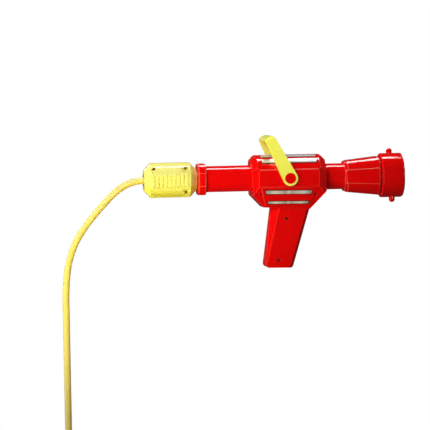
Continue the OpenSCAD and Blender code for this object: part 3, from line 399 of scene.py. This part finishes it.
def crownedNormals():
    # shades the handle's flats as a little round, as moulded ones are. For a face's normal n:
    # n + crown / radius * (place across the flat), with crown = flat + 2 (slant - flat) |ny nz|
    look = handleFlats
    tree, geometry = startGeometry("crownedNormals")
    number, vector = "ShaderNodeMath", "ShaderNodeVectorMath"
    normal = addNode(tree, "GeometryNodeInputNormal").outputs["Normal"]
    parts = addNode(tree, "ShaderNodeSeparateXYZ", None, None, {"Vector": normal}).outputs
    made = {"normal": normal, "place": addNode(tree, "GeometryNodeInputPosition").outputs["Position"],
            "nx": parts["X"], "ny": parts["Y"], "nz": parts["Z"]}
    # each step has its name, its node, its operation and its terms, which are names or constants;
    # |sin 4q| = 4 |ny nz| |ny^2 - nz^2|, q being the normal's turn about X, is near 0 on the flats alone
    steps = [
        ("lowered", vector, "SUBTRACT", "place", (0, 0, look["axisZ"] * mm)),
        ("fromAxis", vector, "MULTIPLY", "lowered", (0, 1, 1)),
        ("height", vector, "DOT_PRODUCT", "normal", "fromAxis"),
        ("foot", vector, "MULTIPLY", "normal", "height"),
        ("across", vector, "SUBTRACT", "fromAxis", "foot"),
        ("product", number, "MULTIPLY", "ny", "nz"),
        ("slant", number, "ABSOLUTE", "product"),
        ("crown", number, "MULTIPLY_ADD", "slant", 2 * (look["slantCrown"] - look["flatCrown"]),
         look["flatCrown"]),
        ("reach", vector, "LENGTH", "fromAxis"),
        ("outward", number, "DIVIDE", "height", "reach"),
        ("facesOut", number, "GREATER_THAN", "outward", look["outFrom"]),
        ("squareY", number, "MULTIPLY", "ny", "ny"),
        ("squareZ", number, "MULTIPLY", "nz", "nz"),
        ("difference", number, "SUBTRACT", "squareY", "squareZ"),
        ("fourSlant", number, "MULTIPLY", "slant", 4.0),
        ("sine", number, "MULTIPLY", "fourSlant", "difference"),
        ("turn", number, "ABSOLUTE", "sine"),
        ("onFlat", number, "LESS_THAN", "turn", look["flatWithin"]),
        ("tilt", number, "ABSOLUTE", "nx"),
        ("level", number, "LESS_THAN", "tilt", look["levelWithin"]),
        ("outerFlat", number, "MULTIPLY", "facesOut", "onFlat"),
        ("chosen", number, "MULTIPLY", "outerFlat", "level"),
        ("chosenCrown", number, "MULTIPLY", "crown", "chosen"),
        ("amount", number, "MULTIPLY", "chosenCrown", 1 / (look["radius"] * mm)),
        ("bend", vector, "MULTIPLY", "across", "amount"),
        ("leaning", vector, "ADD", "normal", "bend"),
        ("bent", vector, "NORMALIZE", "leaning"),
    ]
    for name, kind, operation, *terms in steps:
        links = {socket: made[term] for socket, term in enumerate(terms) if isinstance(term, str)}
        constants = {socket: term for socket, term in enumerate(terms) if socket not in links}
        outputs = addNode(tree, kind, {"operation": operation}, constants, links).outputs
        scalar = kind == number or operation in ("DOT_PRODUCT", "LENGTH")
        made[name] = outputs["Value" if scalar else "Vector"]
    shade = addNode(tree, "GeometryNodeSetMeshNormal", {"mode": "FREE", "domain": "CORNER"}, None,
                    {"Mesh": geometry, "Custom Normal": made["bent"]})
    addNode(tree, "NodeGroupOutput", None, None, {0: shade.outputs["Mesh"]})
    return tree


crownedFlats = crownedNormals()
for name in ("handle_left", "handle_right"):
    nodes[name].modifiers.new("crownedFlats", "NODES").node_group = crownedFlats
print("flats crowned:", crownedFlats.name)


# Hose

hose = {
    # the bend in (x, z), and then straight down
    "route": [(-116.2, 60), (-140.2, 60), (-150, 59), (-160, 55), (-170, 48), (-180, 38), (-190, 27),
              (-199, 16), (-207, 4), (-213, -9), (-217, -23), (-219, -38), (-220, -54), (-220, -72)]
             + [(-220, z) for z in range(-90, -351, -20)],
    "diameter": 7.0, "bore": 5.0, "length": 471, "exitX": -140.2, "exitZ": 60, "steps": 9, "sides": 32,
}


def smoothRoute(points, steps):
    # Catmull-Rom curve through the route's points a, b, c, d, in metres, for t from 0 at b to 1 at c:
    # (2 b + (c - a) t + (2 a - 5 b + 4 c - d) t^2 + (3 b - a - 3 c + d) t^3) / 2
    knots = np.array([(x, 0.0, z) for x, z in points]) * mm
    padded = np.vstack([2 * knots[0] - knots[1], knots, 2 * knots[-1] - knots[-2]])
    t = np.linspace(0, 1, steps, endpoint=False)[:, None]
    a, b, c, d = (padded[i:len(knots) - 1 + i, None] for i in range(4))
    curve = 0.5 * (2 * b + (c - a) * t + (2 * a - 5 * b + 4 * c - d) * t ** 2
                   + (3 * b - a - 3 * c + d) * t ** 3)
    return np.vstack([curve.reshape(-1, 3), knots[-1]])


def ringsAlong(path, radius, sides):
    # circles square to a path that lies in the XZ plane: centre + r (cos q * normal + sin q * Y)
    way = np.gradient(path, axis=0)
    way /= np.linalg.norm(way, axis=1)[:, None]
    normal = np.stack([-way[:, 2], np.zeros(len(way)), way[:, 0]], -1)
    q = np.arange(sides) * 2 * math.pi / sides
    side = np.array([0.0, 1.0, 0.0])
    return path[:, None] + radius * (np.cos(q)[None, :, None] * normal[:, None]
                                     + np.sin(q)[None, :, None] * side)


def makeHose():
    # a tube with its bore and two flat rims; U goes from 0 along the outer side of the bend to 1 along the
    # inner side, and V is the length along the hose in metres
    path = smoothRoute(hose["route"], hose["steps"])
    sides, count = hose["sides"], len(path)
    outer = ringsAlong(path, hose["diameter"] / 2 * mm, sides).reshape(-1, 3)
    inner = ringsAlong(path, hose["bore"] / 2 * mm, sides).reshape(-1, 3)
    wall = gridFaces(count, sides, wrap=True)
    k = np.arange(sides)
    rim = np.stack([k, k + count * sides, (k + 1) % sides + count * sides, (k + 1) % sides], -1)
    run = np.concatenate([[0], np.cumsum(np.linalg.norm(np.diff(path, axis=0), axis=1))])
    u = np.tile(np.abs(k / sides - 0.5) * 2, count)
    uv = np.stack([u, np.repeat(run, sides)], -1)
    faces = np.vstack([wall[:, ::-1], wall + count * sides, rim[:, ::-1], rim + (count - 1) * sides])
    piece = meshPiece("softHose", np.vstack([outer, inner]), faces, np.vstack([uv, uv]))
    wear(piece, hosePvc)
    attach(piece, "pump")
    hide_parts("hose")
    print("hose, in metres:", round(float(run[-1]), 4))


makeHose()


# Outlet spring, which the ball shortens in the pump; here it keeps the length of its part

spring = {"wire": 0.6, "curls": 5, "steps": 24, "sides": 10, "fixedX": 84.5, "travel": 3.0}


def makeSpring():
    # a round wire along the helix (x along the axis, r cos q, r sin q), with flat ends:
    # helix + wire / 2 (cos a * outward + sin a * third), third being square to the wire and to outward
    low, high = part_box("outlet_spring")
    half, sides = spring["wire"] / 2 * mm, spring["sides"]
    count = spring["curls"] * spring["steps"] + 1
    q = np.linspace(0, 2 * math.pi * spring["curls"], count)
    r, axisZ = (high.y - low.y) / 2 - half, (high.z + low.z) / 2
    outward = np.stack([0 * q, np.cos(q), np.sin(q)], -1)
    along = np.linspace(low.x + half, high.x - half, count)
    helix = r * outward + np.stack([along, 0 * q, 0 * q + axisZ], -1)
    way = np.gradient(helix, axis=0)
    way /= np.linalg.norm(way, axis=1)[:, None]
    third = np.cross(way, outward)
    a = (np.arange(sides) * 2 * math.pi / sides)[None, :, None]
    points = helix[:, None] + half * (np.cos(a) * outward[:, None] + np.sin(a) * third[:, None])
    k = np.arange(sides // 2 - 1)
    cap = np.stack([k, k + 1, sides - 2 - k, sides - 1 - k], -1)
    wall = gridFaces(count, sides, wrap=True)
    piece = meshPiece("coilSpring", points.reshape(-1, 3),
                      np.vstack([wall, cap[:, ::-1], cap + (count - 1) * sides]))
    wear(piece, springSteel)
    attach(piece, "gun")
    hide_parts("outlet_spring")
    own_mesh(piece)
    print("spring, from x:", round(low.x, 5), "to", round(high.x, 5))


makeSpring()


# Foil strips on the side panels and on top

sideStrips = {"middleX": 3.0, "side": 21.3, "top": 51.8, "lean": 20, "turn": 0.8, "drop": 0.8, "lift": 0.8,
              "halfLength": 25.0, "slant": 0.2421, "across": [(2.4, 7.4), (14.1, 17.9)],
              "columns": 190, "rows": 20}
topStrips = {"middleX": 4.4, "axisZ": 60, "radius": 23.05, "halfLength": 28.25, "turns": [50, 27],
             "width": 6.2, "columns": 120, "rows": 18}
foilSheet = {"thick": 0.35, "rim": 0.3, "rimSteps": (0.0, 0.08, 0.25, 0.5, 0.75), "rivetRadius": 0.65,
             "rivetHeight": 0.3, "rivetInset": 2.0}


def rimShares(length, inside):
    # shares from -1 to 1 along a length, closer together inside the rims, which are quarter rounds
    rim = 2 * foilSheet["rim"] / length
    lead = rim * np.array(foilSheet["rimSteps"])
    return np.concatenate([lead - 1, np.linspace(rim - 1, 1 - rim, inside), 1 - lead[::-1]])


def foilHeight(rimDistance, x, across, rivets):
    # quarter-round rim: thick * sqrt(1 - (1 - d / rim)^2), and a low dome at each rivet
    share = np.clip(rimDistance / foilSheet["rim"], 0, 1)
    height = foilSheet["thick"] * np.sqrt(1 - (1 - share) ** 2)
    for rivetX, rivetAcross in rivets:
        apart = ((x - rivetX) ** 2 + (across - rivetAcross) ** 2) / foilSheet["rivetRadius"] ** 2
        height = height + foilSheet["rivetHeight"] * np.sqrt(np.clip(1 - apart, 0, None))
    return height


def closeSheet(top, under):
    # a sheet's upper and lower grids, which share their outline, joined into one closed skin
    rows, columns = top.shape[:2]
    faces = gridFaces(rows, columns)
    ids = np.arange(rows * columns).reshape(rows, columns)
    lower = ids + rows * columns
    for edge in (np.s_[0, :], np.s_[-1, :], np.s_[:, 0], np.s_[:, -1]):
        lower[edge] = ids[edge]
    skin = np.vstack([faces, lower.ravel()[faces][:, ::-1]])
    used, skin = np.unique(skin, return_inverse=True)
    points = np.vstack([top.reshape(-1, 3), under.reshape(-1, 3)])
    return points, skin.reshape(-1, 4), used


def onPanel(x, d, lift, side):
    # places on the leaning lower facet: x along the panel, d down it and lift off the facet
    look = sideStrips
    turn, lean = math.radians(look["turn"]), math.radians(look["lean"])
    onX = x * math.cos(turn) - d * math.sin(turn) + look["middleX"]
    up = -x * math.sin(turn) - d * math.cos(turn) - look["drop"]
    y = look["side"] + up * math.sin(lean) + lift * math.cos(lean)
    z = look["top"] + up * math.cos(lean) - lift * math.sin(lean)
    return np.stack([onX, side * y, z], -1) * mm


def sideStrip(limits, side):
    # a strip on the lower facet: x runs along it, d down the panel, and its half length shrinks with d
    look = sideStrips
    low, high = limits
    s = rimShares(2 * look["halfLength"], look["columns"])[None, :]
    d = ((rimShares(high - low, look["rows"]) + 1) / 2 * (high - low) + low)[:, None]
    half = look["halfLength"] - look["slant"] * d
    x = s * half
    rim = np.minimum(np.minimum(d - low, high - d), (1 - np.abs(s)) * half)
    middle = (low + high) / 2
    end = look["halfLength"] - look["slant"] * middle - foilSheet["rivetInset"]
    height = foilHeight(rim, x, d, [(-end, middle), (0, middle), (end, middle)])
    skins = [onPanel(x, d, look["lift"] + lift, side) for lift in (height, 0 * height)]
    uv = np.stack([0 * d + (s + 1) / 2, (d - low) / (high - low) + 0 * s], -1)
    return skins, uv, {"rimDistance": rim}


def topStrip(turn, side):
    # a strip on the arch: x runs along it, and a is the angle from the crown
    look = topStrips
    s = rimShares(2 * look["halfLength"], look["columns"])[None, :]
    v = (rimShares(look["width"], look["rows"])[:, None] + 1) / 2
    across = v * look["width"]
    a = math.radians(turn) - across / look["radius"]
    x = s * look["halfLength"] + 0 * a
    rim = np.minimum(np.minimum(across, look["width"] - across), (1 - np.abs(s)) * look["halfLength"])
    height = foilHeight(rim, x, across, [])
    skins = []
    for lift in (height, 0 * height):
        r = look["radius"] + lift
        y, z = side * r * np.sin(a), look["axisZ"] + r * np.cos(a)
        skins.append(np.stack([x + look["middleX"], y, z], -1) * mm)
    uv = np.stack([0 * v + (s + 1) / 2, v + 0 * s], -1)
    return skins, uv, {"rimDistance": rim}


def makeSheets(name, strips, material, node=None):
    # one piece from several closed sheets, with its faces turned outward: the sum of
    # (c - a) x (d - b) . (a + b + c + d) over its faces, a measure of its volume, is above 0
    points, faces, uvs, values, count = [], [], [], [], 0
    for (top, under), uv, numbers in strips:
        allPoints, skin, used = closeSheet(top, under)
        points.append(allPoints[used])
        faces.append(skin + count)
        uvs.append(np.vstack([uv.reshape(-1, 2)] * 2)[used])
        values.append({key: np.concatenate([number.ravel()] * 2)[used] for key, number in numbers.items()})
        count += len(used)
    points, faces = np.vstack(points), np.vstack(faces)
    a, b, c, d = (points[faces[:, i]] for i in range(4))
    if np.einsum("ij,ij->", np.cross(c - a, d - b), a + b + c + d) < 0:
        faces = faces[:, ::-1]
    joined = {key: np.concatenate([numbers[key] for numbers in values]) for key in values[0]}
    piece = meshPiece(name, points, faces, np.vstack(uvs), joined)
    wear(piece, material)
    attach(piece, "gun")
    if node:
        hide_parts(node)


for sideName, side in (("left", 1), ("right", -1)):
    makeSheets("sideFoil." + sideName, [sideStrip(limits, side) for limits in sideStrips["across"]], sideFoil,
               "side_foil_" + sideName)
    makeSheets("topFoil." + sideName, [topStrip(turn, side) for turn in topStrips["turns"]], topFoil,
               "top_foil_" + sideName)
print("foil strips made")


# Beads along the moulded edges, painted pale as a highlight, and the catches behind the panel's windows,
# painted dark as shade

beads = {"archEdge": {"from": (-26, 21.3, 68.68), "to": (33.5, 21.3, 68.68), "out": (0, 0.981, 0.192)},
         "coneEdge": {"from": (62.5, 16.04, 66.64), "to": (96, 19.2, 67.95), "out": (-0.094, 0.977, 0.194)}}
beadForm = {"halfWidth": 0.5, "height": 0.35, "sink": 0.12, "under": 0.3, "endPower": 16, "columns": 80,
            "rows": 9}
catches = {"places": [(-27.3, 7.8), (27.3, 7.8)], "halfWidth": 0.75, "halfHeight": 1.65, "floor": -0.79,
           "clear": 0.05, "height": 0.34, "under": 0.1, "steps": 9}


def edgeBead(bead, side):
    # a half-round bead on a straight edge, with its ends drawn out to nothing:
    # height * sqrt(1 - v^2) * sqrt(1 - (2 s - 1)^16), for v across it and s along it
    look = beadForm
    start, end, out = (np.array(bead[key], float) * (1, side, 1) for key in ("from", "to", "out"))
    way = (end - start) / np.linalg.norm(end - start)
    out = (out - way * (out @ way)) / np.linalg.norm(out - way * (out @ way))
    across = np.cross(out, way)
    s = np.linspace(0, 1, look["columns"])[None, :]
    v = np.sin(np.linspace(-math.pi / 2, math.pi / 2, look["rows"]))[:, None]
    height = look["height"] * np.sqrt(1 - v ** 2) * np.sqrt(1 - (2 * s - 1) ** look["endPower"])
    uv = np.stack([s + 0 * v, v + 0 * s], -1)
    base = start + uv[..., :1] * (end - start) + uv[..., 1:] * look["halfWidth"] * across
    skins = [(base + (lift - look["sink"])[..., None] * out) * mm
             for lift in (height, -look["under"] * height)]
    return skins, uv, {}


def windowCatch(place, side):
    # the domed end of a catch on the floor of its window: height * (1 - u^4)(1 - v^4)
    look = catches
    u, v = np.meshgrid(*[np.linspace(-1, 1, look["steps"])] * 2, indexing="ij")
    height = look["height"] * (1 - u ** 4) * (1 - v ** 4)
    x, d = place[0] + u * look["halfWidth"], place[1] + v * look["halfHeight"]
    skins = [onPanel(x, d, look["floor"] + look["clear"] + lift, side)
             for lift in (height, -look["under"] * height)]
    return skins, np.stack([u, v], -1), {}


for sideName, side in (("left", 1), ("right", -1)):
    # the beads wear the paler edge material, a painted highlight
    makeSheets("edgeBeads." + sideName, [edgeBead(bead, side) for bead in beads.values()], redEdgeHighlight)
    # the catches wear the near-black material, painted shade
    makeSheets("windowShadeCatches." + sideName, [windowCatch(place, side) for place in catches["places"]],
               paintedShadeAbs)
print("beads and catches made")


# Camera, light and floor

shot = {"azimuth": -7.2, "elevation": 3.2, "roll": 1.0, "distance": 3.0, "frameWidth": 0.430,
        "aim": (-0.069, 0.0, 0.024), "sensor": 36.0, "clipEnd": 60}


def backVector(azimuth, elevation):
    # from the target to a camera or lamp; azimuth 0 is on the right of the gun, at -Y
    a, e = math.radians(azimuth), math.radians(elevation)
    return Vector((math.sin(a) * math.cos(e), -math.cos(a) * math.cos(e), math.sin(e)))


def makeCamera():
    data = bpy.data.cameras.new("photoCamera")
    data.sensor_width = shot["sensor"]
    data.lens = shot["sensor"] * shot["distance"] / shot["frameWidth"]
    data.clip_end = shot["clipEnd"]
    camera = bpy.data.objects.new("photoCamera", data)
    back = backVector(shot["azimuth"], shot["elevation"])
    turn = (-back).to_track_quat("-Z", "Y").to_matrix().to_4x4()
    roll = Matrix.Rotation(math.radians(-shot["roll"]), 4, "Z")
    camera.matrix_world = Matrix.Translation(Vector(shot["aim"]) + back * shot["distance"]) @ turn @ roll
    bpy.context.scene.collection.objects.link(camera)
    bpy.context.scene.camera = camera


# a light works on the plastic's gloss, on its colour, or on both
gunMiddle = (0, 0, 0.06)
fullSpread = 180
lights = {
    "overheadStrip": {"azimuth": 180, "elevation": 75, "distance": 1.25, "size": (0.7, 0.3), "watts": 10,
                      "works": "both"},
    "leftGlint": {"azimuth": -28, "elevation": 8, "distance": 1.6, "size": (0.08, 0.9), "watts": 5,
                  "works": "gloss"},
    "rightGlint": {"azimuth": 38, "elevation": 8, "distance": 1.6, "size": (0.08, 0.9), "watts": 5,
                   "works": "gloss"},
    "backLeftGlint": {"azimuth": -150, "elevation": 12, "distance": 1.6, "size": (0.1, 0.9), "watts": 5,
                      "works": "gloss"},
    "backRightGlint": {"azimuth": 145, "elevation": 12, "distance": 1.6, "size": (0.1, 0.9), "watts": 5,
                       "works": "gloss"},
    "frontKey": {"azimuth": -27, "elevation": 27, "distance": 0.5, "size": (0.45, 0.35), "watts": 2.45,
                 "works": "colour", "aim": (-0.12, 0, 0.06)},
    "leftFill": {"azimuth": -95, "elevation": -8, "distance": 1.2, "size": (0.8, 0.8), "watts": 4.5,
                 "works": "colour", "aim": (-0.06, 0, 0.06)},
    "rightFill": {"azimuth": 72, "elevation": 15, "distance": 1.5, "size": (0.9, 1.2), "watts": 1.6,
                  "works": "colour"},
    "underFill": {"azimuth": -35, "elevation": -32, "distance": 0.75, "size": (0.8, 0.5), "watts": 0.45,
                  "works": "colour", "aim": (-0.1, 0, 0.06), "colour": "#fff6a0", "spread": 62},
    "warmBounce": {"azimuth": -25, "elevation": -48, "distance": 0.26, "size": (0.16, 0.16), "watts": 0.13,
                   "works": "colour", "aim": (-0.15, 0, 0.06), "colour": "#fff200", "spread": 90},
    "backLeftFill": {"azimuth": -135, "elevation": 25, "distance": 1.5, "size": (1.0, 1.0), "watts": 9,
                     "works": "colour"},
    "backRightFill": {"azimuth": 135, "elevation": 25, "distance": 1.5, "size": (1.0, 1.0), "watts": 9,
                      "works": "colour"},
}


def makeLights():
    for name, light in lights.items():
        data = bpy.data.lights.new(name, "AREA")
        data.shape = "RECTANGLE"
        data.size, data.size_y = light["size"]
        data.energy = light["watts"]
        data.color = hexLinear(light.get("colour", "#ffffff"))[:3]
        data.spread = math.radians(light.get("spread", fullSpread))
        lamp = bpy.data.objects.new(name, data)
        lamp.visible_camera = False
        lamp.visible_glossy = light["works"] != "colour"
        lamp.visible_diffuse = light["works"] != "gloss"
        back = backVector(light["azimuth"], light["elevation"])
        target = Vector(light.get("aim", gunMiddle))
        lamp.matrix_world = (Matrix.Translation(target + back * light["distance"])
                             @ (-back).to_track_quat("-Z", "Y").to_matrix().to_4x4())
        bpy.context.scene.collection.objects.link(lamp)


worldLook = {"colour": "#ffffff", "seen": 1.0, "glow": 0.04}


def makeWorld():
    # white behind the object, and a dim even glow on it
    world = bpy.data.worlds.new("studio")
    bpy.context.scene.world = world
    world.use_nodes = True
    tree = world.node_tree
    tree.nodes.clear()
    glow, seen = (addNode(tree, "ShaderNodeBackground", None,
                          {"Color": hexLinear(worldLook["colour"]), "Strength": worldLook[key]})
                  for key in ("glow", "seen"))
    ray = addNode(tree, "ShaderNodeLightPath").outputs["Is Camera Ray"]
    mix = addNode(tree, "ShaderNodeMixShader", None, None,
                  {0: ray, 1: glow.outputs["Background"], 2: seen.outputs["Background"]})
    addNode(tree, "ShaderNodeOutputWorld", None, None, {"Surface": mix.outputs["Shader"]})


floorLook = {"radius": 1.8, "drop": 0.1, "colour": "#4a4a49", "rough": 0.7, "glow": "#f4f3f1",
             "strength": 0.92, "steps": 49}


def makeFloor():
    # a round pale floor under the hose's end: a square grid (u, v) drawn in to a disc,
    # x = u sqrt(1 - v^2 / 2) and y = v sqrt(1 - u^2 / 2)
    steps = floorLook["steps"]
    v, u = np.meshgrid(np.linspace(-1, 1, steps), np.linspace(-1, 1, steps), indexing="ij")
    height = np.full((steps, steps), cadBox[0].z - floorLook["drop"])
    points = np.stack([u * np.sqrt(1 - v * v / 2) * floorLook["radius"],
                       v * np.sqrt(1 - u * u / 2) * floorLook["radius"], height], -1).reshape(-1, 3)
    floor = meshPiece("paleFloor", points, gridFaces(steps, steps))
    material, tree, out = startMaterial("paintedPaleFloor")
    shader = addNode(tree, "ShaderNodeBsdfPrincipled", None,
                     {"Base Color": hexLinear(floorLook["colour"]), "Roughness": floorLook["rough"],
                      "Emission Color": hexLinear(floorLook["glow"]),
                      "Emission Strength": floorLook["strength"]})
    tree.links.new(shader.outputs["BSDF"], out.inputs["Surface"])
    wear(floor, material)
    floor.visible_glossy = floor.visible_diffuse = False  # the object shows the lights alone


makeCamera()
makeLights()
makeWorld()
makeFloor()
bpy.context.scene.view_settings.view_transform = "Standard"
print("stage set")
